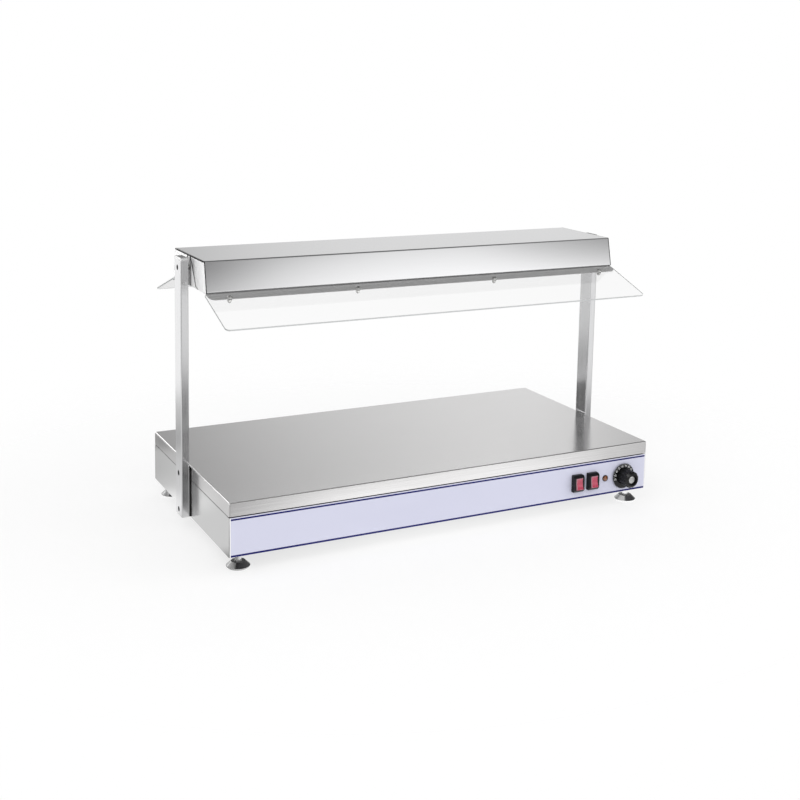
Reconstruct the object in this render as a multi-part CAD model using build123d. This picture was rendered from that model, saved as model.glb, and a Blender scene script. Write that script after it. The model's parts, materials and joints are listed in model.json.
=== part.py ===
from build123d import *
from math import cos, radians, sin
import os

# A heated serving plate on a low cabinet, with a lamp hood carried on two posts.
# Millimetres. X runs to the right along the plate, Y from the controls to the back, Z up.
# The origin is on the surface that the feet stand on, under the middle of the plate.

# Driving dimensions of the whole object
plate_length = 900.0
plate_depth = 462.0
foot_height = 31.0
base_height = 99.0
serving_height = 344.0
hood_height = 58.0
hood_top_width = 175.0
hood_bottom_width = 200.0

# Sheet thicknesses
plate_sheet = 1.5
cabinet_sheet = 1.2
cover_sheet = 1.2
hood_sheet = 1.2
bracket_sheet = 1.2
reflector_sheet = 0.8
tray_sheet = 1.0
film = 0.4

# Warming plate and cabinet
rim_height = 25.0
rim_shadow_gap = 2.0
end_neck_inset = 0.3
side_neck_inset = 8.0
fold_radius = 2.5
cabinet_fold = 1.2
cabinet_top_lip = 12.0
cabinet_flange = 60.0
cover_overlap = 10.0
cover_vent_rows = (-110.0, 110.0)
cover_vent_count = 7
cover_vent_pitch = 18.0
cover_vent_size = (60.0, 6.0)
cover_screw_x = (-394.0, 0.0, 394.0)
cover_screw_y = 175.0
cover_screw = (2.0, 7.0, 4.0, 2.4)

# Feet
foot_x = 423.0
foot_y = 202.0
foot_sole_radius = 18.4
foot_disc_radius = 21.5
foot_edge_z = (2.8, 3.8)
foot_edge_bevel = 0.7
foot_shoulder = (13.0, 11.8)
foot_neck_radius = 6.6
foot_neck_z = (12.4, 13.4)
foot_stud_radius = 6.0
foot_stud_top = 60.0
foot_nut_across = 19.0
foot_nut_height = 10.0

# Controls, along the right end of the front
control_z = 65.0
switch_x = {"left": 279.2, "right": 315.0}
pilot_x = 348.8
dial_x = 392.0
panel_cut_depth = 20.0

# Rocker switches
switch_frame = (24.0, 35.0)
switch_frame_proud = 11.0
switch_frame_chamfer = 4.5
switch_body = (22.0, 32.4)
switch_body_depth = 26.0
rocker_width = 15.5
rocker_radius = 12.4
rocker_tip = 6.0
rocker_waist = 4.3
rocker_back = 4.0
rocker_edge = 1.1
rocker_tilt = 9.0
rocker_pivot_proud = 8.0
rocker_well = 6.5
rocker_pin_radius = 1.5
rocker_pin_length = 2.0
rocker_play = 0.2
blade_size = (6.3, 0.8, 9.0)
blade_spacing = (10.0, 18.0)

# Pilot lamp
pilot_bezel_radius = 6.5
pilot_bezel_proud = 2.0
pilot_barrel_radius = 5.0
pilot_depth = 24.0
pilot_lens_radius = 5.4
pilot_lens_proud = 3.0
pilot_lens_seat = 0.5
pilot_nut_size = (14.0, 4.0)

# Thermostat and its dial
skirt_radius = 25.8
skirt_back = 3.0
skirt_edge = 4.6
skirt_face = 5.6
grip_radius = 17.2
grip_front = 34.5
grip_flutes = 12
flute_radius = 3.6
flute_depth = 1.6
grip_bevel = 4.0
grip_dish = (10.5, 3.5)
cap_radius = 7.2
cap_height = 1.6
cap_crown = 29.0
spindle_end = 24.0
spindle_radius = 3.0
thermostat_drum_radius = 19.0
thermostat_drum_depth = 28.0
thermostat_plate = (46.0, 38.0, 2.0)
thermostat_screw_spacing = 28.0
thermostat_screw = (2.0, 7.0, 3.6, 2.2)
capillary_radius = 0.9

# Heater under the plate
element_radius = 4.0
element_runs = (-135.0, -45.0, 45.0, 135.0)
element_reach = 385.0
element_end_x = 400.0
element_bend = 44.0
element_pin = (2.0, 14.0)
clamp_x = (-280.0, 0.0, 280.0)
clamp_y = (-90.0, 90.0)
clamp_bar_size = (24.0, 330.0, 1.5)
clamp_stud_radius = 2.5
clamp_nut_size = (8.0, 4.0)
bulb_x = (225.0, 335.0)
bulb_y = -105.0
tray_size = (848.0, 418.0, 15.0)
mat_height = 20.6
tray_floor_z = 97.0

# Mains entry
terminal_size = (30.0, 60.0, 24.0)
terminal_place = (410.0, 25.0)
terminal_well_radius = 3.5
terminal_well_x = (-8.0, 8.0)
terminal_well_y = (-18.0, 0.0, 18.0)
gland_x = 330.0
gland_radius = 9.9
gland_bore = 5.0
gland_hex = (24.0, 7.0)
gland_barrel_radius = 11.0
gland_mouth = (8.0, 8.0)
gland_thread = 12.0
gland_nut_size = (27.0, 5.0)

# Posts
post_gap = 2.0
post_set_back = 7.0
post_width = 15.5
post_depth = 38.0
post_wall = 1.2
post_corner = 2.0
post_below_hood_top = 3.5
post_bolt_z = (43.0, 114.0, 509.0)
access_radius = 5.0
cap_band = 5.0
cap_bevel = 1.5
plug_head = 1.5
plug_depth = 4.0
spacer_width = 34.0
spacer_top = 121.0
hood_spacer_radius = 5.5
bolt_radius = 3.0
bolt_head = (4.7, 4.0)
bolt_length = 16.0
bolt_nut = (10.0, 5.0)

# Lead that climbs in the right post
lead_radius = 2.5
lead_y = 9.0
lead_low_z = 75.0
lead_bend = 8.0
lead_hole_radius = 3.3

# Hood
hood_end_inset = 5.0
hood_lip = 14.0
hood_fold = 3.0
flap_top_gap = 1.8
flap_top_edge = 11.0
flap_bottom_edge = 43.0
flap_relief = (60.0, 4.0)
pad_toe = (53.0, 3.0)
flap_slit = 4.4
slit_bridges = (4.0, 6.0)

# Sneeze panes and the strips that hold them
bracket_bend_y = 96.0
bracket_tab = 12.0
bracket_width = 23.5
bracket_corner = 13.0
pane_slope = 19.0
pane_length = 893.0
pane_start = 3.0
pane_end = 126.0
pane_thickness = 3.0
pane_corner = 8.0
pane_screw_x = (-405.0, -150.0, 150.0, 405.0)
pane_screw_at = 19.0
pane_screw_radius = 2.5
pane_screw_head = (4.5, 3.0)
pane_nut = (8.0, 4.0)
pane_nut_dome = ((0, 0), (3.6, 0), (3.2, 2.0), (1.8, 3.6), (0, 4.0))

# Lamps, reflector and guard
lamp_drop = 35.0
lamp_radius = 5.0
lamp_cap_radius = 4.0
lamp_cap_length = 22.0
lamp_span = (16.2, 405.8)
holder_length = 18.0
holder_width = 24.0
holder_below_lamp = 9.0
holder_socket = 8.0
reflector_half_length = 435.0
reflector_rise = 37.25
reflector_half_top = 60.0
reflector_half_mouth = 86.0
reflector_half_flange = 97.0
guard_wire_radius = 1.25
guard_pitch = 60.0
guard_crossings = 15
guard_half_width = 96.0
guard_long_y = (-50.0, 0.0, 50.0)
guard_weld = 0.6

# Running play of studs, spindles and pins, and seating play of fixed pieces
running_play = 0.05
seat = 0.05

# Levels and half sizes worked out from the driving dimensions
body_bottom = foot_height
plate_top = body_bottom + base_height
plate_underside = plate_top - plate_sheet
rim_bottom = plate_top - rim_height
shoulder_z = rim_bottom - rim_shadow_gap
hood_bottom = plate_top + serving_height
hood_top = hood_bottom + hood_height
half_length = plate_length / 2
half_depth = plate_depth / 2
neck_x = half_length - plate_sheet - end_neck_inset
neck_y = half_depth - plate_sheet - side_neck_inset
front_face = -half_depth - film
wall_inside = half_depth - cabinet_sheet
post_inner = half_length + post_gap
post_centre = post_inner + post_width / 2
post_outer = post_inner + post_width
post_top = hood_top - post_below_hood_top
hood_half_top = hood_top_width / 2
hood_half_bottom = hood_bottom_width / 2
flange_top = body_bottom + cabinet_sheet
element_z = plate_underside - element_radius - seat
clamp_bar_top = element_z - element_radius - seat
lamp_z = hood_top - lamp_drop
reflector_bottom = hood_bottom + hood_sheet + 2 * guard_wire_radius + seat
lead_x = post_centre
control_reach = film + grip_front
hood_half_length = half_length - hood_end_inset

UP = (Align.CENTER, Align.CENTER, Align.MIN)
DOWN = (Align.CENTER, Align.CENTER, Align.MAX)
SIDES = {"left": -1, "right": 1}


# Shared shapes
def block(x, y, z):
    """A box between two limits on each axis."""
    size = [high - low for low, high in (x, y, z)]
    middle = [(high + low) / 2 for low, high in (x, y, z)]
    return Pos(*middle) * Box(*size)


def spread(half):
    """Limits at equal distances on both sides of zero."""
    return (-half, half)


def outward(side, near, far):
    """Limits along X on one end of the object, given as distances from the middle."""
    return tuple(sorted((side * near, side * far)))


def turned(points):
    """A round piece about its own Z, from a closed outline of radius and height."""
    outline = Plane.XZ * Polyline(*points, close=True)
    return revolve(make_face(outline), Axis.Z)


def sheet_section(points, thickness, side, bend=None):
    """Section of a folded sheet, from the line along one of its faces, with sharp or rounded bends."""
    line = FilletPolyline(*points, radius=bend) if bend else Polyline(*points)
    return make_face(offset(line, thickness, kind=Kind.INTERSECTION, side=side))


def along_x(section, half):
    """A section drawn in Y and Z, stretched along X to both sides of the middle."""
    return extrude(Plane.YZ * section, amount=half, both=True)


def end_plate(section, side, near, far):
    """A flat plate on one end of the object, drawn in Y and Z."""
    start = min(side * near, side * far)
    return extrude(Plane.YZ.offset(start) * section, amount=far - near)


def bore_x(x, y, z, radius, length):
    """A round bar along X, for holes in end walls."""
    return Pos(x, y, z) * Rot(0, 90, 0) * Cylinder(radius, length)


def hex_nut(across, height, bore):
    """A plain hexagon nut standing on its own Z = 0."""
    body = extrude(RegularPolygon(across / 2, 6, major_radius=False), height)
    return body - Cylinder(bore, 3 * height)


def screw(radius, length, head_radius, head_height):
    """A pan head screw whose head sits on its own Z = 0, with the shank below."""
    edge = 0.6 * head_height
    crown = 0.6 * head_radius
    return turned([(0, -length), (radius, -length), (radius, 0), (head_radius, 0), (head_radius, edge),
                   (crown, head_height), (0, head_height)])


def on_panel(x):
    """Working plane on the face of the front film, looking out of the object."""
    return Plane(origin=(x, front_face, control_z), x_dir=(1, 0, 0), z_dir=(0, -1, 0))


def on_end(side, x, y, z):
    """Working plane on an end wall, looking out of the object."""
    return Plane(origin=(side * x, y, z), x_dir=(0, 1, 0), z_dir=(side, 0, 0))


def group(solids):
    """Separate solids that share one node."""
    return Compound([piece.solid() for piece in solids])


def to_rear(front):
    """The rear copy of a piece made for the front."""
    return mirror(front, about=Plane.XZ)


# Base
def warming_plate():
    tray = block(spread(half_length), spread(half_depth), (rim_bottom, plate_top))
    folds = tray.edges().filter_by(Axis.Z) + tray.faces().sort_by(Axis.Z)[-1].edges()
    tray = fillet(folds, fold_radius)
    tray -= block(spread(half_length - plate_sheet), spread(half_depth - plate_sheet),
                  (rim_bottom - 1, plate_underside))
    for side in SIDES.values():
        tray -= bore_x(side * half_length, post_set_back, post_bolt_z[1], bolt_radius + 2 * seat, 10 * plate_sheet)
    return tray


def panel_cutouts():
    """What the control side is cut for, as bars through its wall and film."""
    cuts = []
    for x in switch_x.values():
        width, height = switch_body
        cuts.append(on_panel(x) * Box(width + 2 * seat, height + 2 * seat, panel_cut_depth))
    cuts.append(on_panel(pilot_x) * Cylinder(pilot_barrel_radius + seat, panel_cut_depth))
    cuts.append(on_panel(dial_x) * Cylinder(spindle_radius + 1, panel_cut_depth))
    screw_hole = Cylinder(thermostat_screw[0] + 4 * seat, panel_cut_depth)
    for sign in (-1, 1):
        cuts.append(on_panel(dial_x + sign * thermostat_screw_spacing / 2) * screw_hole)
    return cuts


def base_cabinet():
    shell = block(spread(half_length), spread(half_depth), (body_bottom, shoulder_z))
    shell = fillet(shell.edges().filter_by(Axis.Z), cabinet_fold)
    shell += block(spread(neck_x), spread(neck_y), (shoulder_z, plate_underside))
    shell -= block(spread(half_length - cabinet_sheet), spread(wall_inside),
                   (flange_top, shoulder_z - cabinet_sheet))
    shell -= block(spread(neck_x - cabinet_sheet), spread(neck_y - cabinet_sheet),
                   (shoulder_z - 2 * cabinet_sheet, plate_underside - cabinet_sheet))
    shell -= block(spread(neck_x - cabinet_top_lip), spread(neck_y - cabinet_top_lip),
                   (shoulder_z, plate_top))
    shell -= block(spread(half_length - cabinet_flange), spread(half_depth - cabinet_flange),
                   (0, 2 * flange_top - body_bottom))
    for cut in panel_cutouts():
        shell -= cut
    shell -= rear_wall(gland_x) * Cylinder(gland_radius + seat, 6 * cabinet_sheet)
    for side in SIDES.values():
        for z in post_bolt_z[:2]:
            shell -= bore_x(side * half_length, post_set_back, z, bolt_radius + 2 * seat, 10 * cabinet_sheet)
    shell -= bore_x(half_length, lead_y + post_set_back, lead_low_z, lead_hole_radius, 10 * cabinet_sheet)
    for x, y in foot_places():
        shell -= Pos(x, y, body_bottom) * Cylinder(foot_stud_radius + 0.5, 4 * cabinet_sheet)
    for place in cover_screw_places():
        shell -= place * Cylinder(cover_screw[0] + 2 * seat, 8 * cabinet_sheet)
    return shell


def front_overlay():
    half = half_length - cabinet_fold
    film_sheet = block(spread(half), (front_face, -half_depth), (body_bottom, shoulder_z))
    for cut in panel_cutouts():
        film_sheet -= cut
    return film_sheet


def cover_screw_places():
    return [Pos(x, sign * cover_screw_y, body_bottom - cover_sheet) for x in cover_screw_x for sign in (-1, 1)]


def bottom_cover():
    half_x = half_length - cabinet_flange + cover_overlap
    half_y = half_depth - cabinet_flange + cover_overlap
    cover = block(spread(half_x), spread(half_y), (body_bottom - cover_sheet, body_bottom))
    cover = fillet(cover.edges().filter_by(Axis.Z), 2 * fold_radius)
    slot = extrude(SlotOverall(*cover_vent_size), 4 * cover_sheet, both=True)
    middle = (cover_vent_count - 1) / 2
    for x in cover_vent_rows:
        for index in range(cover_vent_count):
            cover -= Pos(x, (index - middle) * cover_vent_pitch, body_bottom) * slot
    for place in cover_screw_places():
        cover -= place * Cylinder(cover_screw[0] + 2 * seat, 8 * cover_sheet)
    return cover


def cover_screws():
    return group(place * Rot(180, 0, 0) * screw(*cover_screw) for place in cover_screw_places())


# Feet
def foot_places():
    return [(x, y) for y in (-foot_y, foot_y) for x in (-foot_x, foot_x)]


def foot(x, y):
    """A disc with an undercut edge, a conical shoulder and a nearly flat top, on a stud."""
    edge_low, edge_high = foot_edge_z
    neck_low, neck_high = foot_neck_z
    crown = foot_disc_radius - foot_edge_bevel
    return Pos(x, y, 0) * turned([
        (0, 0), (foot_sole_radius, 0), (foot_disc_radius, edge_low), (foot_disc_radius, edge_high),
        (crown, edge_high + foot_edge_bevel), foot_shoulder, (foot_neck_radius, neck_low),
        (foot_neck_radius, neck_high),
        (foot_stud_radius, neck_high), (foot_stud_radius, foot_stud_top), (0, foot_stud_top)])


def foot_nuts():
    nut = hex_nut(foot_nut_across, foot_nut_height, foot_stud_radius + running_play)
    return group(Pos(x, y, flange_top) * nut for x, y in foot_places())


# Heater under the plate
def heating_element():
    first, last = element_runs[0], element_runs[-1]
    points = [(element_end_x, first, element_z)]
    ends = (-element_reach, element_reach, -element_reach)
    for index, end in enumerate(ends):
        points.append((end, element_runs[index], element_z))
        points.append((end, element_runs[index + 1], element_z))
    points.append((element_end_x, last, element_z))
    path = FilletPolyline(*points, radius=element_bend)
    rod = sweep(Plane(origin=points[0], z_dir=(-1, 0, 0)) * Circle(element_radius), path=path)
    radius, length = element_pin
    for y in (first, last):
        rod += bore_x(element_end_x + length / 2 - 1, y, element_z, radius, length + 2)
    return rod


def clamp_places():
    return [(x, y) for x in clamp_x for y in clamp_y]


def clamp_bars():
    width, length, thickness = clamp_bar_size
    bars = []
    for x in clamp_x:
        bar = block((x - width / 2, x + width / 2), spread(length / 2),
                    (clamp_bar_top - thickness, clamp_bar_top))
        for y in clamp_y:
            bar -= Pos(x, y, clamp_bar_top) * Cylinder(clamp_stud_radius + 2 * seat, 4 * thickness)
        bars.append(bar)
    return group(bars)


def clamp_studs():
    length = plate_underside - tray_floor_z + 6
    stud = Cylinder(clamp_stud_radius, length, align=DOWN)
    return group(Pos(x, y, plate_underside) * stud for x, y in clamp_places())


def clamp_nuts():
    across, height = clamp_nut_size
    nut = Pos(0, 0, -height) * hex_nut(across, height, clamp_stud_radius + seat)
    return group(Pos(x, y, tray_floor_z) * nut for x, y in clamp_places())


def insulation_tray():
    length, depth, height = tray_size
    tray = block(spread(length / 2), spread(depth / 2), (tray_floor_z, tray_floor_z + height))
    tray -= block(spread(length / 2 - tray_sheet), spread(depth / 2 - tray_sheet),
                  (tray_floor_z + tray_sheet, plate_top))
    for x, y in clamp_places():
        tray -= Pos(x, y, tray_floor_z) * Cylinder(clamp_stud_radius + 2 * seat, 6 * tray_sheet)
    return tray


def insulation_mat():
    inset = tray_sheet + 1
    floor = tray_floor_z + tray_sheet
    mat = block(spread(tray_size[0] / 2 - inset), spread(tray_size[1] / 2 - inset), (floor, floor + mat_height))
    for x, y in clamp_places():
        mat -= Pos(x, y, floor) * Cylinder(clamp_stud_radius + 1, 3 * mat_height)
    return mat


# Thermostat and dial
def thermostat_body():
    width, height, thickness = thermostat_plate
    face = -film - cabinet_sheet
    body = Pos(0, 0, face) * Box(width, height, thickness, align=DOWN)
    body += Pos(0, 0, face - thickness) * Cylinder(thermostat_drum_radius, thermostat_drum_depth, align=DOWN)
    body -= Pos(0, 0, face) * Cylinder(spindle_radius + running_play, 40)
    for sign in (-1, 1):
        body -= Pos(sign * thermostat_screw_spacing / 2, 0, face) * Cylinder(thermostat_screw[0] + seat, 16)
    return on_panel(dial_x) * body


def thermostat_screws():
    fixing = screw(*thermostat_screw)
    spacing = thermostat_screw_spacing / 2
    return group(on_panel(dial_x + sign * spacing) * fixing for sign in (-1, 1))


def thermostat_bulb():
    """The sensing bulb under the plate and the thin tube from it to the thermostat."""
    start, end = bulb_x
    bulb = bore_x((start + end) / 2, bulb_y, element_z, element_radius, end - start)
    drop_x = dial_x + thermostat_drum_radius + 8
    back = -wall_inside + thermostat_plate[2] + thermostat_drum_depth / 2
    points = [(end - 2, bulb_y, element_z), (drop_x, bulb_y, element_z), (drop_x, back, element_z),
              (drop_x, back, control_z), (dial_x + thermostat_drum_radius + seat, back, control_z)]
    path = FilletPolyline(*points, radius=6)
    return bulb + sweep(Plane(origin=points[0], z_dir=(1, 0, 0)) * Circle(capillary_radius), path=path)


def thermostat_spindle():
    length = spindle_end + film + cabinet_sheet + thermostat_drum_depth / 2
    return on_panel(dial_x) * Pos(0, 0, spindle_end) * Cylinder(spindle_radius, length, align=DOWN)


def thermostat_knob():
    """A skirt that carries the scale, and a fluted grip with a bevelled front and a dish."""
    knob = turned([(0, skirt_back), (skirt_radius - 0.6, skirt_back), (skirt_radius, skirt_back + 0.6),
                   (skirt_radius, skirt_edge - 0.6), (skirt_radius - 0.6, skirt_edge), (grip_radius, skirt_face),
                   (0, skirt_face)])
    grip = Circle(grip_radius)
    flute_centre = grip_radius + flute_radius - flute_depth
    for place in PolarLocations(flute_centre, grip_flutes):
        grip -= place * Circle(flute_radius)
    grip = Pos(0, 0, skirt_edge) * extrude(grip, grip_front - skirt_edge)
    bevel_radius = grip_radius - grip_bevel
    grip &= turned([(0, 0), (grip_radius, 0), (grip_radius, grip_front - grip_bevel), (bevel_radius, grip_front),
                    (0, grip_front)])
    knob += grip
    dish_radius, dish_depth = grip_dish
    knob -= Pos(0, 0, grip_front) * Cylinder(dish_radius, 2 * dish_depth)
    knob -= Cylinder(spindle_radius + seat, spindle_end + seat, align=UP)
    return on_panel(dial_x) * knob


def knob_cap():
    """A round disc with a slightly domed face."""
    cap = Cylinder(cap_radius, cap_height, align=UP) & Pos(0, 0, cap_height - cap_crown) * Sphere(cap_crown)
    return on_panel(dial_x) * Pos(0, 0, grip_front - grip_dish[1]) * cap


# Rocker switches
def rocker_outline():
    """Section of a rocker, as outward reach and height from its pivot."""
    tip_height = (rocker_radius**2 - rocker_tip**2) ** 0.5
    back_height = (rocker_radius**2 - rocker_back**2) ** 0.5
    upper = ThreePointArc((rocker_tip, tip_height), (0, rocker_radius), (-rocker_back, back_height))
    lower = ThreePointArc((-rocker_back, -back_height), (0, -rocker_radius), (rocker_tip, -tip_height))
    back = Line((-rocker_back, back_height), (-rocker_back, -back_height))
    face = ThreePointArc((rocker_tip, -tip_height), (rocker_waist, 0), (rocker_tip, tip_height))
    return make_face([upper, back, lower, face])


def rocker_pivot(name):
    """Working plane at a rocker's pivot: X outward from the panel, Y up, Z along the hinge."""
    place = (switch_x[name], front_face - rocker_pivot_proud, control_z)
    return Plane(origin=place, x_dir=(0, -1, 0), z_dir=(-1, 0, 0))


def rocker(name):
    """A rocker with softened edges round its hollow face, and a pin at each side."""
    body = extrude(rocker_outline(), rocker_width / 2, both=True)
    body = chamfer(body.faces().sort_by(Axis.X)[-1].edges(), rocker_edge)
    body += Cylinder(rocker_pin_radius, rocker_width + 2 * rocker_pin_length)
    return rocker_pivot(name) * Rot(0, 0, rocker_tilt) * body


def switch_housing(name):
    width, height = switch_frame
    frame = Box(width, height, switch_frame_proud, align=UP)
    rims = frame.faces().sort_by(Axis.Z)[-1].edges().filter_by(Axis.X)
    frame = chamfer(rims, switch_frame_chamfer)
    frame = fillet(frame.edges().filter_by(Axis.Z), 1.5)
    body_width, body_height = switch_body
    housing = frame + Box(body_width, body_height, switch_body_depth, align=DOWN)
    well = Box(rocker_width + 2 * rocker_play, 2 * (rocker_radius + rocker_play), switch_frame_proud, align=UP)
    housing -= Pos(0, 0, rocker_pivot_proud - rocker_well) * well
    pin_hole = Cylinder(rocker_pin_radius + running_play, rocker_width + 2 * rocker_pin_length + 2 * rocker_play)
    housing -= Pos(0, 0, rocker_pivot_proud) * Rot(0, 90, 0) * pin_hole
    return on_panel(switch_x[name]) * housing


def switch_blades():
    width, thickness, length = blade_size
    blades = []
    for name in switch_x:
        for place in GridLocations(*blade_spacing, 2, 2):
            blade = Pos(0, 0, -switch_body_depth) * Box(thickness, width, length, align=DOWN)
            blades.append(on_panel(switch_x[name]) * place * blade)
    return group(blades)


# Pilot lamp
def pilot_bezel():
    ring = turned([(0, 0), (pilot_bezel_radius, 0), (pilot_bezel_radius, 0.6 * pilot_bezel_proud),
                   (pilot_bezel_radius - 0.5, pilot_bezel_proud), (0, pilot_bezel_proud)])
    bezel = ring + Cylinder(pilot_barrel_radius, pilot_depth, align=DOWN)
    bezel -= Pos(0, 0, pilot_lens_seat) * Cylinder(pilot_lens_radius + seat, 2 * pilot_bezel_proud, align=UP)
    return on_panel(pilot_x) * bezel


def pilot_lens():
    """A round disc with a domed face."""
    crown = 2.2 * pilot_lens_radius
    pin = Pos(0, 0, pilot_lens_seat) * Cylinder(pilot_lens_radius, pilot_lens_proud, align=UP)
    return on_panel(pilot_x) * (pin & Pos(0, 0, pilot_lens_proud - crown) * Sphere(crown))


def pilot_nut():
    across, height = pilot_nut_size
    nut = hex_nut(across, height, pilot_barrel_radius + seat)
    return on_panel(pilot_x) * Pos(0, 0, -film - cabinet_sheet - height) * nut


# Mains entry
def rear_wall(x):
    """Working plane on the outside of the rear wall, looking out of the object."""
    return Plane(origin=(x, half_depth, control_z), x_dir=(-1, 0, 0), z_dir=(0, 1, 0))


def terminal_block():
    x, y = terminal_place
    length, depth, height = terminal_size
    body = Pos(x, y, flange_top) * Box(length, depth, height, align=UP)
    for offset_y in terminal_well_y:
        for offset_x in terminal_well_x:
            well = Pos(x + offset_x, y + offset_y, flange_top + height)
            body -= well * Cylinder(terminal_well_radius, height)
    return body


def cable_gland():
    """A gland that stands off the rear wall as far as the dial stands off the front."""
    across, hex_height = gland_hex
    mouth_radius, mouth_length = gland_mouth
    gland = extrude(RegularPolygon(across / 2, 6, major_radius=False), hex_height)
    gland += turned([(0, 0), (gland_barrel_radius, 0), (gland_barrel_radius, control_reach - mouth_length),
                     (mouth_radius, control_reach), (0, control_reach)])
    gland += Cylinder(gland_radius, gland_thread, align=DOWN)
    gland -= Cylinder(gland_bore, 4 * control_reach)
    return rear_wall(gland_x) * gland


def gland_nut():
    across, height = gland_nut_size
    nut = hex_nut(across, height, gland_radius + seat)
    return rear_wall(gland_x) * Pos(0, 0, -cabinet_sheet - height) * nut


# Posts
def post(name):
    side = SIDES[name]
    low = body_bottom + plug_head
    height = post_top - cap_band - low
    tube = extrude(RectangleRounded(post_width, post_depth, post_corner), height)
    tube -= Box(post_width - 2 * post_wall, post_depth - 2 * post_wall, 3 * height)
    tube = Pos(side * post_centre, 0, low) * tube
    for z in post_bolt_z:
        tube -= bore_x(side * post_outer, 0, z, access_radius, 4 * post_wall)
        tube -= bore_x(side * post_inner, 0, z, bolt_radius + 2 * seat, 4 * post_wall)
    if name == "right":
        for z in (lead_low_z, lamp_z):
            tube -= bore_x(post_inner, lead_y, z, lead_hole_radius, 4 * post_wall)
    return tube


def post_end(head_height):
    """A cap for a post's end: a head of the tube's own outline, and a plug that fits inside."""
    head = extrude(RectangleRounded(post_width, post_depth, post_corner), head_height)
    inset = 2 * (post_wall + seat)
    return head + Box(post_width - inset, post_depth - inset, plug_depth, align=DOWN)


def post_caps():
    top = post_end(cap_band)
    top = chamfer(top.faces().sort_by(Axis.Z)[-1].edges(), cap_bevel)
    caps = []
    for side in SIDES.values():
        caps.append(Pos(side * post_centre, 0, post_top - cap_band) * top)
        caps.append(Pos(side * post_centre, 0, body_bottom + plug_head) * Rot(180, 0, 0) * post_end(plug_head))
    return group(caps)


def post_spacers():
    strips = []
    for side in SIDES.values():
        strip = block(outward(side, half_length, post_inner), spread(spacer_width / 2), (body_bottom, spacer_top))
        for z in post_bolt_z[:2]:
            strip -= bore_x(side * half_length, 0, z, bolt_radius + 2 * seat, 4 * post_gap)
        if side > 0:
            strip -= bore_x(half_length, lead_y, lead_low_z, lead_hole_radius, 4 * post_gap)
        strips.append(strip)
    return group(strips)


def hood_spacers():
    """A sleeve on each hood bolt, between the post and the hood's end."""
    gap = post_inner - hood_half_length
    sleeves = []
    for side in SIDES.values():
        x = side * (hood_half_length + gap / 2)
        sleeve = bore_x(x, 0, post_bolt_z[2], hood_spacer_radius, gap)
        sleeves.append(sleeve - bore_x(x, 0, post_bolt_z[2], bolt_radius + 2 * seat, 2 * gap))
    return group(sleeves)


def post_bolts(name):
    side = SIDES[name]
    head_radius, head_height = bolt_head
    bolt = screw(bolt_radius, bolt_length, head_radius, head_height)
    return group(on_end(side, post_inner + post_wall, 0, z) * bolt for z in post_bolt_z)


def post_nuts():
    across, height = bolt_nut
    nut = Pos(0, 0, -height) * hex_nut(across, height, bolt_radius + seat)
    seats = (half_length - cabinet_sheet, neck_x - cabinet_sheet, hood_half_length - 2 * hood_sheet)
    nuts = []
    for side in SIDES.values():
        for x, z in zip(seats, post_bolt_z):
            nuts.append(on_end(side, x, 0, z) * nut)
    return group(nuts)


def lamp_lead():
    x, _ = terminal_place
    top_of_block = flange_top + terminal_size[2]
    holder_face = lamp_span[1] + holder_socket + 0.2 + holder_length - 2 * holder_socket
    points = [(x, lead_y, top_of_block), (x, lead_y, lead_low_z), (lead_x, lead_y, lead_low_z),
              (lead_x, lead_y, lamp_z), (holder_face, lead_y, lamp_z)]
    path = FilletPolyline(*points, radius=lead_bend)
    return sweep(Plane(origin=points[0], z_dir=(0, 0, 1)) * Circle(lead_radius), path=path)


# Hood
def hood_outline():
    """Corners of the hood's section, as Y and Z, from one lower edge round to the other."""
    return [(-hood_half_bottom, hood_bottom), (-hood_half_top, hood_top), (hood_half_top, hood_top),
            (hood_half_bottom, hood_bottom)]


def hood_side_at(z):
    """Half width of the hood's outside at a height."""
    share = (hood_top - z) / hood_height
    return hood_half_top + share * (hood_half_bottom - hood_half_top)


def flap_top():
    return hood_top - hood_sheet - flap_top_gap


def front_flap_section():
    """The flap that the front of the hood folds round each end, with its slanting edge and relief."""
    top = flap_top()
    relief_y, relief_rise = flap_relief
    return make_face(Polyline((-hood_half_bottom, hood_bottom), (-hood_side_at(top), top), (-flap_top_edge, top),
                              (-flap_bottom_edge, hood_bottom + relief_rise), (-relief_y, hood_bottom), close=True))


def hood_shell():
    """One folded sheet: top, two leaning sides, lips under them and a flap from each side round each end."""
    lip = hood_half_bottom - hood_lip
    points = [(-lip, hood_bottom)] + hood_outline() + [(lip, hood_bottom)]
    shell = along_x(sheet_section(points, hood_sheet, Side.RIGHT, bend=hood_fold), hood_half_length)
    for side in SIDES.values():
        flap = end_plate(front_flap_section(), side, hood_half_length - hood_sheet, hood_half_length)
        flap &= along_x(make_face(hood_boundary()), half_length)
        shell += flap
        shell += to_rear(flap)
    return shell


def hood_boundary():
    """Closed outside line of the hood's section, with its folds."""
    return FilletPolyline(*hood_outline(), radius=hood_fold, close=True)


def flap_edge_at(z):
    """Distance of a flap's slanting edge from the middle, at a height."""
    share = (z - hood_bottom) / (flap_top() - hood_bottom)
    return flap_bottom_edge + share * (flap_top_edge - flap_bottom_edge)


def slit_openings():
    """The slits beside the flaps, open into the hood between a bridge at the bottom and one at the top."""
    low, high = hood_bottom + slit_bridges[0], flap_top() - slit_bridges[1]
    outer_low, outer_high = flap_edge_at(low), flap_edge_at(high)
    slit = make_face(Polyline((-outer_low, low), (-outer_low + flap_slit, low), (-outer_high + flap_slit, high),
                              (-outer_high, high), close=True))
    return [slit, mirror(slit, about=Plane.YZ)]


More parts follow.
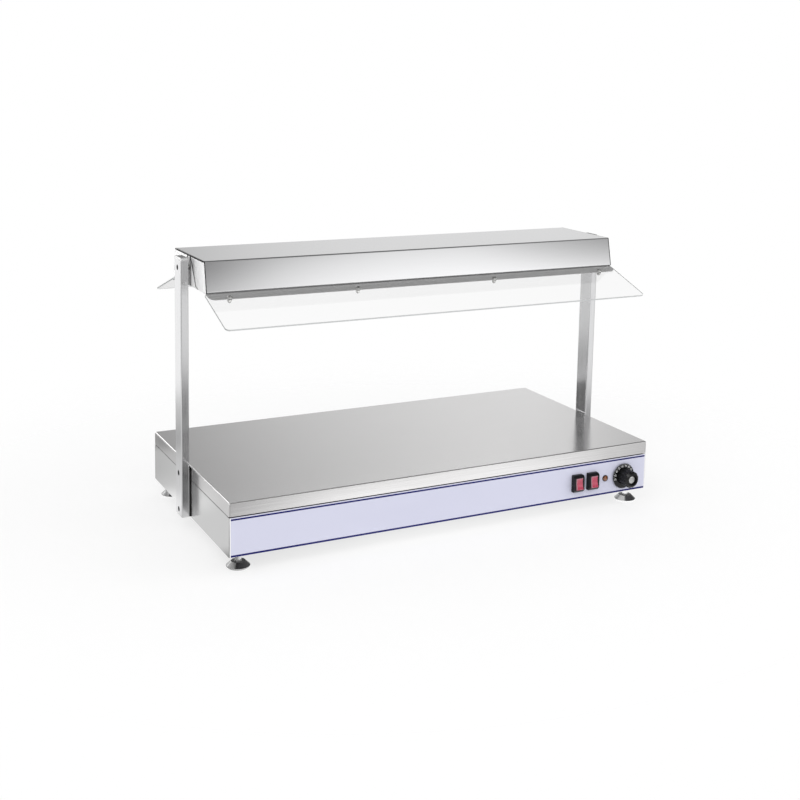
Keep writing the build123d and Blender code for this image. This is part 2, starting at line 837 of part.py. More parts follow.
def hood_end(name):
    """A plate behind the flaps, raised level with them in the middle and standing clear of their edges."""
    side = SIDES[name]
    section = offset(make_face(hood_boundary()), -hood_sheet - 2 * seat)
    section -= Pos(0, hood_top) * Rectangle(hood_bottom_width, 2 * (hood_top - flap_top() + flap_slit))
    toe_y, toe_rise = pad_toe
    section += Pos(0, hood_bottom + flap_relief[1]) * Rectangle(2 * toe_y, 2 * flap_relief[1])
    for opening in slit_openings():
        section -= opening
    near = hood_half_length - hood_sheet
    plate = end_plate(section, side, near - hood_sheet, near)
    top, bottom = flap_top_edge - flap_slit, flap_bottom_edge - flap_slit
    pad = make_face(Polyline((-toe_y, hood_bottom), (toe_y, hood_bottom), (bottom, hood_bottom + toe_rise),
                             (top, flap_top()), (-top, flap_top()), (-bottom, hood_bottom + toe_rise), close=True))
    plate += end_plate(pad, side, near, hood_half_length)
    plate -= bore_x(side * hood_half_length, 0, post_bolt_z[2], bolt_radius + 2 * seat, 10 * hood_sheet)
    if name == "right":
        plate -= bore_x(hood_half_length, lead_y, lamp_z, lead_hole_radius, 10 * hood_sheet)
    return plate


# Sneeze panes
def slope_point(distance):
    """Y and Z on the upper face of the front bracket, down the slope from its bend."""
    angle = radians(pane_slope)
    return (-bracket_bend_y - distance * cos(angle), hood_bottom - distance * sin(angle))


def on_pane():
    """Working plane on the upper face of the front bracket: Y down the slope, Z into the pane."""
    angle = radians(pane_slope)
    start = (0, -bracket_bend_y, hood_bottom)
    return Plane(origin=start, x_dir=(1, 0, 0), z_dir=(0, sin(angle), -cos(angle)))


def front_pane_bracket():
    points = [(-bracket_bend_y + bracket_tab, hood_bottom), (-bracket_bend_y, hood_bottom),
              slope_point(bracket_width)]
    strip = along_x(sheet_section(points, bracket_sheet, Side.LEFT), hood_half_length - 1)
    corners = strip.edges().filter_by(lambda edge: abs(edge.length - bracket_sheet) < 0.01).sort_by(Axis.Z)[:2]
    strip = fillet(corners, bracket_corner)
    for x in pane_screw_x:
        strip -= on_pane() * Pos(x, pane_screw_at) * Cylinder(pane_screw_radius + 2 * seat, 6 * bracket_sheet)
    return strip


def front_pane():
    sheet = Pos(0, (pane_start + pane_end) / 2) * Rectangle(pane_length, pane_end - pane_start)
    sheet = fillet(sheet.vertices().group_by(Axis.Y)[-1], pane_corner)
    for x in pane_screw_x:
        sheet -= Pos(x, pane_screw_at) * Circle(pane_screw_radius + 2 * seat)
    return on_pane() * Pos(0, 0, bracket_sheet) * extrude(sheet, pane_thickness)


def front_pane_screws():
    head_radius, head_height = pane_screw_head
    length = bracket_sheet + pane_thickness + pane_nut[1]
    bolt = Rot(180, 0, 0) * screw(pane_screw_radius, length, head_radius, head_height)
    return group(on_pane() * Pos(x, pane_screw_at) * bolt for x in pane_screw_x)


def front_pane_nuts():
    across, height = pane_nut
    nut = extrude(RegularPolygon(across / 2, 6, major_radius=False), height)
    nut += Pos(0, 0, height) * turned(pane_nut_dome)
    nut -= Cylinder(pane_screw_radius + seat, height + seat, align=UP)
    depth = bracket_sheet + pane_thickness
    return group(on_pane() * Pos(x, pane_screw_at, depth) * nut for x in pane_screw_x)


# Lamps
def reflector():
    top = reflector_bottom + reflector_rise
    points = [(-reflector_half_flange, reflector_bottom), (-reflector_half_mouth, reflector_bottom),
              (-reflector_half_top, top), (reflector_half_top, top),
              (reflector_half_mouth, reflector_bottom), (reflector_half_flange, reflector_bottom)]
    return along_x(sheet_section(points, reflector_sheet, Side.LEFT), reflector_half_length)


def lamp(name):
    start, end = lamp_span
    length = end - start
    taper = lamp_cap_length + 4
    tube = turned([(0, 0), (lamp_cap_radius, 0), (lamp_cap_radius, lamp_cap_length), (lamp_radius, taper),
                   (lamp_radius, length - taper), (lamp_cap_radius, length - lamp_cap_length),
                   (lamp_cap_radius, length), (0, length)])
    return on_end(SIDES[name], start, 0, lamp_z) * tube


def lamp_holders():
    """A block at each end of each lamp, with a socket for the lamp's cap."""
    top = reflector_bottom + reflector_rise
    near_mouth, far_mouth = lamp_span[0] + holder_socket, lamp_span[1] - holder_socket
    spans = ((near_mouth - holder_length, near_mouth), (far_mouth, far_mouth + holder_length))
    holders = []
    for side in SIDES.values():
        for span, mouth in zip(spans, (near_mouth, far_mouth)):
            holder = block(outward(side, *span), spread(holder_width / 2), (lamp_z - holder_below_lamp, top))
            holder -= bore_x(side * mouth, 0, lamp_z, lamp_cap_radius + seat, 2 * (holder_socket + seat))
            holders.append(holder)
    return group(holders)


def lamp_guard():
    cross_z = hood_bottom + hood_sheet + guard_wire_radius
    long_z = cross_z + 2 * guard_wire_radius - guard_weld
    middle = (guard_crossings - 1) / 2
    cross = Rot(90, 0, 0) * Cylinder(guard_wire_radius, 2 * guard_half_width)
    span = (guard_crossings - 1) * guard_pitch + 10
    wires = [Pos((index - middle) * guard_pitch, 0, cross_z) * cross for index in range(guard_crossings)]
    wires += [bore_x(0, y, long_z, guard_wire_radius, span) for y in guard_long_y]
    return Part() + wires


# Posts, hood and what they carry stand a little behind the middle of the base
carried = Pos(0, post_set_back, 0)

# Every node by name
pieces = {
    "warming_plate": warming_plate(),
    "base_cabinet": base_cabinet(),
    "front_overlay": front_overlay(),
    "bottom_cover": bottom_cover(),
    "cover_screws": cover_screws(),
    "foot_front_left": foot(-foot_x, -foot_y),
    "foot_front_right": foot(foot_x, -foot_y),
    "foot_rear_left": foot(-foot_x, foot_y),
    "foot_rear_right": foot(foot_x, foot_y),
    "foot_nuts": foot_nuts(),
    "heating_element": heating_element(),
    "clamp_bars": clamp_bars(),
    "clamp_studs": clamp_studs(),
    "clamp_nuts": clamp_nuts(),
    "insulation_tray": insulation_tray(),
    "insulation_mat": insulation_mat(),
    "thermostat_body": thermostat_body(),
    "thermostat_screws": thermostat_screws(),
    "thermostat_bulb": thermostat_bulb(),
    "thermostat_spindle": thermostat_spindle(),
    "thermostat_knob": thermostat_knob(),
    "knob_cap": knob_cap(),
    "left_switch_housing": switch_housing("left"),
    "right_switch_housing": switch_housing("right"),
    "left_rocker": rocker("left"),
    "right_rocker": rocker("right"),
    "switch_blades": switch_blades(),
    "pilot_bezel": pilot_bezel(),
    "pilot_lens": pilot_lens(),
    "pilot_nut": pilot_nut(),
    "terminal_block": terminal_block(),
    "cable_gland": cable_gland(),
    "gland_nut": gland_nut(),
    "left_post": carried * post("left"),
    "right_post": carried * post("right"),
    "post_caps": carried * post_caps(),
    "post_spacers": carried * post_spacers(),
    "hood_spacers": carried * hood_spacers(),
    "left_post_bolts": carried * post_bolts("left"),
    "right_post_bolts": carried * post_bolts("right"),
    "post_nuts": carried * post_nuts(),
    "lamp_lead": carried * lamp_lead(),
    "hood_shell": carried * hood_shell(),
    "hood_left_end": carried * hood_end("left"),
    "hood_right_end": carried * hood_end("right"),
    "front_pane_bracket": carried * front_pane_bracket(),
    "rear_pane_bracket": carried * to_rear(front_pane_bracket()),
    "front_pane": carried * front_pane(),
    "rear_pane": carried * to_rear(front_pane()),
    "front_pane_screws": carried * front_pane_screws(),
    "rear_pane_screws": carried * to_rear(front_pane_screws()),
    "front_pane_nuts": carried * front_pane_nuts(),
    "rear_pane_nuts": carried * to_rear(front_pane_nuts()),
    "reflector": carried * reflector(),
    "left_lamp": carried * lamp("left"),
    "right_lamp": carried * lamp("right"),
    "lamp_holders": carried * lamp_holders(),
    "lamp_guard": carried * lamp_guard(),
}

os.makedirs("parts", exist_ok=True)
for name, piece in pieces.items():
    export_step(piece, f"parts/{name}.step")
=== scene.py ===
"""Looks of a heat lamp food warmer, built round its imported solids.

Lengths are in metres and angles in degrees, unless a name ends in mm.
"""
import json
import math

import bpy
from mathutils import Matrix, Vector


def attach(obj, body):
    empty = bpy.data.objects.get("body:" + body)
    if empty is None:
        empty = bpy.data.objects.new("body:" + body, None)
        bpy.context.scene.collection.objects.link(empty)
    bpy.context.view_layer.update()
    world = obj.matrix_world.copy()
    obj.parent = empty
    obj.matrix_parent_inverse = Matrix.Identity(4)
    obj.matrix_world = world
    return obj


MM = 0.001

# Camera, fitted to the corners of the base, posts and hood
camera_place = (-1.1401, -2.2200, 0.8971)
camera_turn = (82.0821, -1.0314, -26.8478)
camera_lens = 56.39
camera_shift = -0.2075

# Table
table_half = (1.5, 1.3)
# where it starts and ends to fade, as shares of that half size, seen directly and in a mirror
table_fade = (0.42, 0.95)
mirror_fade = (0.75, 1.0)
# the share of its light that is its own glow, and the strength of that glow
table_glow = 0.62
table_white = 1.06

# Studio light
ambient_level = 0.80
key_lamp = {"place": (-2.0, -2.1, 2.7), "size": (2.4, 1.8), "power": 26.0}
fill_lamp = {"place": (2.6, -1.2, 1.9), "size": (1.8, 1.8), "power": 14.0}
lamp_target = (0.0, 0.0, 0.2)

# The room as polished metal shows it: dark overhead, paler at eye level, with soft brighter and darker areas.
# Each area has its azimuth from +Y towards +X, its elevation, half its width and its change.
room_low = 0.46
room_high = 0.15
room_rise = (0.48, 0.95)
room_areas = (
    (30.5, 12.0, 20.0, 0.66),
    (46.0, 17.0, 12.0, -0.42),
    (-19.5, -12.0, 22.0, 0.72),
    (-36.0, 17.0, 16.0, -0.30),
    (151.5, 6.0, 15.0, 0.92),
    (164.0, 14.0, 6.0, -0.25),
    (19.0, 30.0, 17.0, -0.30),
    (148.7, -14.0, 27.6, 0.63),
    (-112.0, -10.0, 38.0, 1.00),
    (-12.0, 30.0, 20.0, 3.00),
    (143.0, 13.5, 6.0, -0.30),
    (-52.0, 3.0, 15.0, 5.00),
    (-150.0, -4.0, 24.0, -0.30),
    (-152.0, 43.0, 24.0, 5.0),
)

# The table as polished metal shows it, glowing: a level, the darkest it gets, and soft patches of painted
# light and shade.
# Each patch has its centre, its radius and its change.
table_level = 0.83
table_darkest = 0.05
table_patches = (
    (-0.16, -0.36, 0.36, 0.90),
    (-0.26, -0.91, 0.80, -0.60),
    (-0.47, -0.20, 0.11, -0.70),
    (-0.37, 0.40, 0.22, -0.28),
    (-0.46, 0.16, 0.12, 0.42),
    (-0.27, 0.86, 0.80, -0.35),
    (-0.74, 0.55, 0.23, -0.23),
    (-0.57, 0.61, 0.07, -0.50),
    (-0.57, 0.54, 0.06, -0.45),
    (0.76, -0.28, 0.38, -0.50),
    (-0.51, -0.35, 0.16, -0.82),
    (1.05, -0.82, 0.51, 0.24),
    (0.19, -0.36, 0.57, 0.77),
)

# Patterns: the values that a noise mostly keeps to, and the length of one wave of the wave texture
pattern_span = (0.3, 0.7)
wave_length = 0.314

# Brushing of the plate: along X, and turned a little so that the end faces have a direction too
brush_way = (1.0, 0.02, 0.0)

# Hood
# how far out from the middle its painted shade lines at the corners and its flaps begin, and how high the
# flaps reach
hood_shade_line_from = 0.4430
hood_flap_from = 0.4448
hood_flap_top = 0.5295
# the middle and half the height of its sides, and how far they bow
hood_middle_z = 0.503
hood_half_height = 0.029
hood_bow_mm = 0.25
# half the width of the painted shade in the gap behind a post
post_shade_half = 0.0028

# Printed film: the middle and half width of its lines, and how far out the painted highlight at its ends
# begins
film_stripes = ((0.0993, 0.0016), (0.0330, 0.0018))
film_highlight_from = 0.4469

# Faces told apart by how far they look along an axis
pane_edge_below = 0.6
rocker_highlight_side_above = -0.86
cap_shaded_top_facing = (0.8, 1.0)
# the upward cone of a foot gets a painted reflection of the shaded underside it faces
foot_shaded_cone_facing = (0.3, 0.6)
# where the painted highlight on a foot's cone begins and ends, and the share of the painted shade that it
# keeps
foot_highlight_facing = ((-0.86, -0.66), (-0.24, -0.46))
foot_highlight_keeps_shade = 0.41

# Dial: its centre on the panel, the cone of its skirt, its cap's rings and the scale printed on it
dial_centre = Vector((0.392, -0.2314, 0.065))
skirt_cone = ((0.0172, 0.0056), (0.0252, 0.0046))
cap_ring_mm = 0.7
scale_numbers = (20, 30, 40, 50, 60, 70, 80, 90)
scale_first_angle = 192.0
scale_step = 22.5
number_radius = 0.0211
number_height = 0.0050
number_weight = 0.00009
tick_radii = (0.0236, 0.0251)
tick_width = 0.0008
print_lift = 0.00004


# Tools for materials
def tone(code):
    """Linear colour of an sRGB hex value."""
    parts = [int(code[i:i + 2], 16) / 255 for i in (1, 3, 5)]
    return [c / 12.92 if c <= 0.04045 else ((c + 0.055) / 1.055) ** 2.4 for c in parts] + [1.0]


def add(tree, kind, inputs=None, **settings):
    """Adds a node: settings are its properties, and an input takes a socket to join or a value to hold."""
    node = tree.nodes.new(kind)
    for name, value in settings.items():
        setattr(node, name, value)
    for name, value in (inputs or {}).items():
        if isinstance(value, bpy.types.NodeSocket):
            tree.links.new(value, node.inputs[name])
        else:
            node.inputs[name].default_value = value
    return node


def start_material(name, **sockets):
    """A material with one Principled shader, and the values of its sockets."""
    made = bpy.data.materials.new(name)
    made.use_nodes = True
    shader = made.node_tree.nodes["Principled BSDF"]
    for socket, value in sockets.items():
        shader.inputs[socket.replace("_", " ")].default_value = value
    return made, made.node_tree, shader


def position(tree):
    """Place of a point on the object, as outputs X, Y and Z."""
    place = add(tree, "ShaderNodeTexCoord").outputs["Object"]
    return add(tree, "ShaderNodeSeparateXYZ", {"Vector": place}).outputs


def stretched_noise(tree, size_mm, detail=2.0):
    """Noise whose grains have the given size along X, Y and Z, in mm."""
    place = add(tree, "ShaderNodeTexCoord").outputs["Object"]
    scale = [1 / (size * MM) for size in size_mm]
    grains = add(tree, "ShaderNodeVectorMath", {0: place, 1: scale}, operation="MULTIPLY")
    noise = add(tree, "ShaderNodeTexNoise", {"Vector": grains.outputs[0], "Scale": 1.0, "Detail": detail})
    return noise.outputs["Fac"]


def vary(tree, shader, socket, source, low, high):
    """Lets a pattern swing a socket between two values."""
    swing = add(tree, "ShaderNodeMapRange", {"Value": source, "From Min": pattern_span[0],
                                             "From Max": pattern_span[1], "To Min": low, "To Max": high})
    tree.links.new(swing.outputs["Result"], shader.inputs[socket])


def tint(tree, shader, source, first, second):
    """Lets a pattern swing the base colour from one colour to another."""
    ramp = add(tree, "ShaderNodeMapRange", {"Value": source, "From Min": pattern_span[0],
                                            "From Max": pattern_span[1]})
    mix = add(tree, "ShaderNodeMix", {0: ramp.outputs["Result"], 6: tone(first), 7: tone(second)},
              data_type="RGBA")
    tree.links.new(mix.outputs[2], shader.inputs["Base Color"])


def raise_grain(tree, shader, source, height_mm):
    """Lets a pattern lift the surface by a height."""
    bump = add(tree, "ShaderNodeBump", {"Height": source, "Distance": height_mm * MM, "Strength": 1.0})
    tree.links.new(bump.outputs["Normal"], shader.inputs["Normal"])


def facing(tree, axis, low, high):
    """Share, from 0 to 1, of how far a face looks along an axis."""
    normal = add(tree, "ShaderNodeNewGeometry").outputs["Normal"]
    part = add(tree, "ShaderNodeSeparateXYZ", {"Vector": normal}).outputs[axis]
    share = add(tree, "ShaderNodeMapRange", {"Value": part, "From Min": low, "From Max": high})
    return share.outputs["Result"]


# Metals
# Marks of brushing, rolling, grinding and turning are about 0.1 mm wide, and drawn 0.5 to 1.2 mm wide to show.
def brushed_stainless_plate():
    """Stainless sheet with a long satin brush: soft mirror from front to back, clearer from side to side."""
    made, tree, shader = start_material("brushed_stainless_plate", Metallic=1.0, Anisotropic=0.9)
    grain = stretched_noise(tree, (140.0, 0.9, 0.9), 3.0)
    tint(tree, shader, grain, "#CDCCCC", "#D6D5D5")
    vary(tree, shader, "Roughness", grain, 0.16, 0.21)
    normal = add(tree, "ShaderNodeNewGeometry").outputs["Normal"]
    across = add(tree, "ShaderNodeVectorMath", {0: normal, 1: brush_way}, operation="CROSS_PRODUCT")
    tree.links.new(across.outputs["Vector"], shader.inputs["Tangent"])
    return made


def polished_stainless_sheet():
    """Cold rolled bright stainless sheet: a clear soft mirror with a faint rolling grain and slow waves."""
    made, tree, shader = start_material("polished_stainless_sheet", Metallic=1.0)
    grain = stretched_noise(tree, (90.0, 0.8, 0.8))
    tint(tree, shader, grain, "#D0D0D0", "#D6D6D6")
    vary(tree, shader, "Roughness", grain, 0.15, 0.20)
    raise_grain(tree, shader, stretched_noise(tree, (140.0, 60.0, 45.0), 1.0), 0.05)
    return made


def hood_stainless_sheet():
    """Bright sheet folded into the hood: sides that bow a little, pale satin ends, and painted shade lines at
    the corners and along the top of the ends, for the gaps beside the flaps.
    """
    made, tree, shader = start_material("hood_stainless_sheet", Metallic=1.0, Specular_Tint=tone("#E2E2E2"))
    place = position(tree)
    reach = add(tree, "ShaderNodeMath", {0: place["X"]}, operation="ABSOLUTE").outputs[0]
    # painted shade: strips at the corners and along the top of the ends are coloured dark for the gaps beside
    # the flaps
    line = add(tree, "ShaderNodeMath", {0: reach, 1: hood_shade_line_from}, operation="GREATER_THAN").outputs[0]
    outer = add(tree, "ShaderNodeMath", {0: reach, 1: hood_flap_from}, operation="GREATER_THAN").outputs[0]
    lower = add(tree, "ShaderNodeMath", {0: place["Z"], 1: hood_flap_top}, operation="LESS_THAN").outputs[0]
    flap = add(tree, "ShaderNodeMath", {0: outer, 1: lower}, operation="MULTIPLY").outputs[0]
    grain = stretched_noise(tree, (110.0, 0.8, 0.8))
    sheet = add(tree, "ShaderNodeMix", {0: grain, 6: tone("#D2D2D3"), 7: tone("#D7D7D8")}, data_type="RGBA")
    # the painted shade lines are mixed in here
    shade_lined = add(tree, "ShaderNodeMix", {0: line, 6: sheet.outputs[2], 7: tone("#505050")}, data_type="RGBA")
    both = add(tree, "ShaderNodeMix", {0: flap, 6: shade_lined.outputs[2], 7: tone("#FCFCFC")}, data_type="RGBA")
    tree.links.new(both.outputs[2], shader.inputs["Base Color"])
    satin = add(tree, "ShaderNodeMapRange", {"Value": flap, "To Min": 0.11, "To Max": 0.50})
    tree.links.new(satin.outputs["Result"], shader.inputs["Roughness"])
    level = add(tree, "ShaderNodeMapRange", {"Value": place["Z"], "From Min": hood_middle_z, "To Max": 1.0,
                                             "From Max": hood_middle_z + hood_half_height}, clamp=False)
    bow = add(tree, "ShaderNodeMath", {0: level.outputs[0], 1: level.outputs[0]}, operation="MULTIPLY")
    raise_grain(tree, shader, bow.outputs[0], -hood_bow_mm)
    return made


def polished_stainless_tube():
    """Drawn stainless tube, polished along its length: long upright lines in a bright mirror."""
    made, tree, shader = start_material("polished_stainless_tube", Metallic=1.0)
    grain = stretched_noise(tree, (0.8, 0.8, 70.0))
    tint(tree, shader, grain, "#CFCFD0", "#DADADB")
    vary(tree, shader, "Roughness", grain, 0.13, 0.20)
    return made


def ground_stainless_strip():
    """Stainless with a coarse ground finish: matt grey with short scratches along it."""
    made, tree, shader = start_material("ground_stainless_strip", Metallic=0.4)
    grain = stretched_noise(tree, (12.0, 0.6, 0.6), 3.0)
    tint(tree, shader, grain, "#ABABAB", "#B9B9B9")
    vary(tree, shader, "Roughness", grain, 0.34, 0.46)
    return made


def satin_stainless_end():
    """End plates of the hood: a pale satin, with painted shade on its cut edges and in the narrow gap behind
    each post.
    """
    made, tree, shader = start_material("satin_stainless_end", Roughness=0.5)
    # painted shade on the cut edges, the faces that don't look along X
    right = facing(tree, "X", 0.0, 1.0)
    left = facing(tree, "X", 0.0, -1.0)
    flat = add(tree, "ShaderNodeMath", {0: right, 1: left}, operation="MAXIMUM").outputs[0]
    # painted shade also on the narrow strip behind each post
    aside = add(tree, "ShaderNodeMath", {0: position(tree)["Y"]}, operation="ABSOLUTE").outputs[0]
    clear = add(tree, "ShaderNodeMath", {0: aside, 1: post_shade_half}, operation="GREATER_THAN").outputs[0]
    pale = add(tree, "ShaderNodeMath", {0: flat, 1: clear}, operation="MULTIPLY")
    tint(tree, shader, pale.outputs[0], "#202020", "#F6F6F6")
    raise_grain(tree, shader, stretched_noise(tree, (0.6, 0.6, 12.0), 3.0), 0.004)
    return made


def turned_steel_foot():
    """Turned and plated steel: a pale stud and rim, and a cone painted dark as a painted reflection of the
    shaded underside above it, with a painted highlight down its left.
    """
    made, tree, shader = start_material("turned_steel_foot", Metallic=0.7)
    vary(tree, shader, "Roughness", stretched_noise(tree, (6.0, 6.0, 0.5)), 0.16, 0.26)
    # painted reflection: the upward cone is darkened for the shaded underside it mirrors, except for a painted
    # highlight down its left
    cone = facing(tree, "Z", *foot_shaded_cone_facing)
    begins, ends = [facing(tree, "X", *limits) for limits in foot_highlight_facing]
    pale = add(tree, "ShaderNodeMath", {0: begins, 1: ends}, operation="MULTIPLY").outputs[0]
    dark = add(tree, "ShaderNodeMapRange", {"Value": pale, "To Min": 1.0, "To Max": foot_highlight_keeps_shade})
    shaded = add(tree, "ShaderNodeMath", {0: cone, 1: dark.outputs["Result"]}, operation="MULTIPLY")
    tint(tree, shader, shaded.outputs[0], "#F0F0F0", "#464648")
    return made


def chromed_wire():
    """Drawn wire under bright plating: a clear mirror."""
    made, tree, shader = start_material("chromed_wire", Metallic=1.0)
    grain = stretched_noise(tree, (6.0, 6.0, 0.5))
    tint(tree, shader, grain, "#D0D0D1", "#DCDCDD")
    vary(tree, shader, "Roughness", grain, 0.04, 0.09)
    return made


def satin_stainless_cap():
    """Post caps with a satin finish: a top painted grey as a painted reflection of the dark room overhead,
    inside a pale bevel and band.
    """
    made, tree, shader = start_material("satin_stainless_cap", Metallic=0.7)
    # painted reflection: the upward face is greyer, for the dark room overhead that it mirrors
    tint(tree, shader, facing(tree, "Z", *cap_shaded_top_facing), "#EAEAEA", "#888888")
    vary(tree, shader, "Roughness", stretched_noise(tree, (12.0, 0.6, 0.6), 3.0), 0.44, 0.56)
    return made


def zinc_plated_steel():
    """Machine screws and nuts with bright zinc: pale grey metal, slightly cloudy."""
    made, tree, shader = start_material("zinc_plated_steel", Metallic=1.0)
    cloud = stretched_noise(tree, (3.0, 3.0, 3.0))
    tint(tree, shader, cloud, "#D0D0CE", "#E2E2E0")
    vary(tree, shader, "Roughness", cloud, 0.18, 0.30)
    return made


def galvanised_sheet():
    """Hot dip galvanised sheet: grey zinc crystals of about 8 mm that each catch the light differently."""
    made, tree, shader = start_material("galvanised_sheet", Metallic=1.0)
    place = add(tree, "ShaderNodeTexCoord")
    crystals = add(tree, "ShaderNodeTexVoronoi", {"Vector": place.outputs["Object"], "Scale": 1 / (8 * MM)})
    grey = add(tree, "ShaderNodeSeparateColor", {"Color": crystals.outputs["Color"]})
    tint(tree, shader, grey.outputs["Red"], "#8F9294", "#A9ABAC")
    vary(tree, shader, "Roughness", grey.outputs["Green"], 0.32, 0.46)
    return made


def oxidised_steel_tube():
    """Heater sheath that has been hot: brown-grey oxide with straw and blue patches."""
    made, tree, shader = start_material("oxidised_steel_tube", Metallic=1.0)
    patches = stretched_noise(tree, (30.0, 12.0, 12.0), 4.0)
    tint(tree, shader, patches, "#5B5A60", "#7C7266")
    vary(tree, shader, "Roughness", patches, 0.35, 0.55)
    return made


def rolled_aluminium():
    """Bright rolled aluminium reflector: very pale mirror with rolling lines."""
    made, tree, shader = start_material("rolled_aluminium", Metallic=1.0)
    grain = stretched_noise(tree, (80.0, 1.2, 1.2))
    tint(tree, shader, grain, "#E2E3E5", "#ECEDEE")
    vary(tree, shader, "Roughness", grain, 0.12, 0.22)
    return made


def spun_aluminium_cap():
    """Turned aluminium disc: fine rings round its centre that fan the light."""
    made, tree, shader = start_material("spun_aluminium_cap", Metallic=1.0)
    place = add(tree, "ShaderNodeTexCoord").outputs["Object"]
    centred = add(tree, "ShaderNodeVectorMath", {0: place, 1: dial_centre}, operation="SUBTRACT")
    scale = wave_length / (cap_ring_mm * MM)
    rings = add(tree, "ShaderNodeTexWave", {"Vector": centred.outputs[0], "Scale": scale},
                wave_type="RINGS", rings_direction="Y")
    tint(tree, shader, rings.outputs["Fac"], "#8C8C8C", "#C4C4C4")
    vary(tree, shader, "Roughness", rings.outputs["Fac"], 0.16, 0.30)
    return made


def stamped_brass():
    """Stamped brass blades: warm yellow metal with a slight tarnish."""
    made, tree, shader = start_material("stamped_brass", Metallic=1.0)
    tarnish = stretched_noise(tree, (5.0, 5.0, 5.0))
    tint(tree, shader, tarnish, "#B08A45", "#C9A45A")
    vary(tree, shader, "Roughness", tarnish, 0.22, 0.38)
    return made


# Film, plastics and glass
def printed_polyester_film():
    """Screen printed polyester film: pale lilac with two navy lines, softly textured, and ends painted white
    as a painted highlight of the cabinet's corner folds.
    """
    made, tree, shader = start_material("printed_polyester_film", Roughness=0.34, IOR=1.57,
                                        Specular_IOR_Level=0.2)
    place = position(tree)
    lines = 0.0
    for middle, half in film_stripes:
        line = add(tree, "ShaderNodeMath", {0: place["Z"], 1: middle, 2: half}, operation="COMPARE")
        lines = add(tree, "ShaderNodeMath", {0: line.outputs[0], 1: lines}, operation="ADD").outputs[0]
    cloud = stretched_noise(tree, (260.0, 40.0, 60.0), 1.0)
    ground = add(tree, "ShaderNodeMix", {0: cloud, 6: tone("#D8D9EC"), 7: tone("#E0E1F3")}, data_type="RGBA")
    ink = add(tree, "ShaderNodeMix", {0: lines, 6: ground.outputs[2], 7: tone("#0A0C64")}, data_type="RGBA")
    # painted highlight: the ends are painted white for the light on the cabinet's corner folds
    reach = add(tree, "ShaderNodeMath", {0: place["X"]}, operation="ABSOLUTE").outputs[0]
    ends = add(tree, "ShaderNodeMath", {0: reach, 1: film_highlight_from}, operation="GREATER_THAN").outputs[0]
    whole = add(tree, "ShaderNodeMix", {0: ends, 6: ink.outputs[2], 7: tone("#FCFCFD")}, data_type="RGBA")
    tree.links.new(whole.outputs[2], shader.inputs["Base Color"])
    # the film's texture is about 0.3 mm, drawn at 0.9 mm to show
    raise_grain(tree, shader, stretched_noise(tree, (0.9, 0.9, 0.9)), 0.004)
    return made


def cast_acrylic_sheet():
    """Clear cast acrylic: almost unseen face on, with pale lines at its sawn edges, greyer at the ends."""
    # the index is below acrylic's 1.49 so that the faces mirror as little as in the photo
    made, tree, shader = start_material("cast_acrylic_sheet", IOR=1.30)
    normal = add(tree, "ShaderNodeNewGeometry").outputs["Normal"]
    part = add(tree, "ShaderNodeSeparateXYZ", {"Vector": normal}).outputs
    level = add(tree, "ShaderNodeMath", {0: part["Z"]}, operation="ABSOLUTE").outputs[0]
    edge = add(tree, "ShaderNodeMath", {0: level, 1: pane_edge_below}, operation="LESS_THAN").outputs[0]
    end = add(tree, "ShaderNodeMath", {0: part["X"]}, operation="ABSOLUTE").outputs[0]
    smear = stretched_noise(tree, (60.0, 25.0, 25.0))
    face = add(tree, "ShaderNodeMix", {0: smear, 6: tone("#FEFEFE"), 7: tone("#FFFFFF")}, data_type="RGBA")
    rim = add(tree, "ShaderNodeMix", {0: end, 6: tone("#E6E8E8"), 7: tone("#B8BABA")}, data_type="RGBA")
    both = add(tree, "ShaderNodeMix", {0: edge, 6: face.outputs[2], 7: rim.outputs[2]}, data_type="RGBA")
    tree.links.new(both.outputs[2], shader.inputs["Base Color"])
    for socket, on_face, on_edge in (("Transmission Weight", 1.0, 0.2), ("Roughness", 0.0, 0.45)):
        swing = add(tree, "ShaderNodeMapRange", {"Value": edge, "To Min": on_face, "To Max": on_edge})
        tree.links.new(swing.outputs["Result"], shader.inputs[socket])
    return made


def fused_quartz():
    """Quartz lamp tube with a translucent white coat inside."""
    made, tree, shader = start_material("fused_quartz", Transmission_Weight=0.55, IOR=1.46)
    frost = stretched_noise(tree, (8.0, 8.0, 8.0))
    tint(tree, shader, frost, "#E6E1D8", "#F1EEE8")
    vary(tree, shader, "Roughness", frost, 0.10, 0.25)
    return made


def moulded_plastic(name, first, second, roughness, grain_mm, lift_mm, gloss=0.5):
    """Moulded or extruded plastic or rubber: one plain colour with the fine texture of its tool."""
    made, tree, shader = start_material(name, IOR=1.5, Specular_IOR_Level=gloss)
    grain = stretched_noise(tree, (grain_mm,) * 3)
    tint(tree, shader, grain, first, second)
    vary(tree, shader, "Roughness", grain, *roughness)
    raise_grain(tree, shader, grain, lift_mm)
    return made


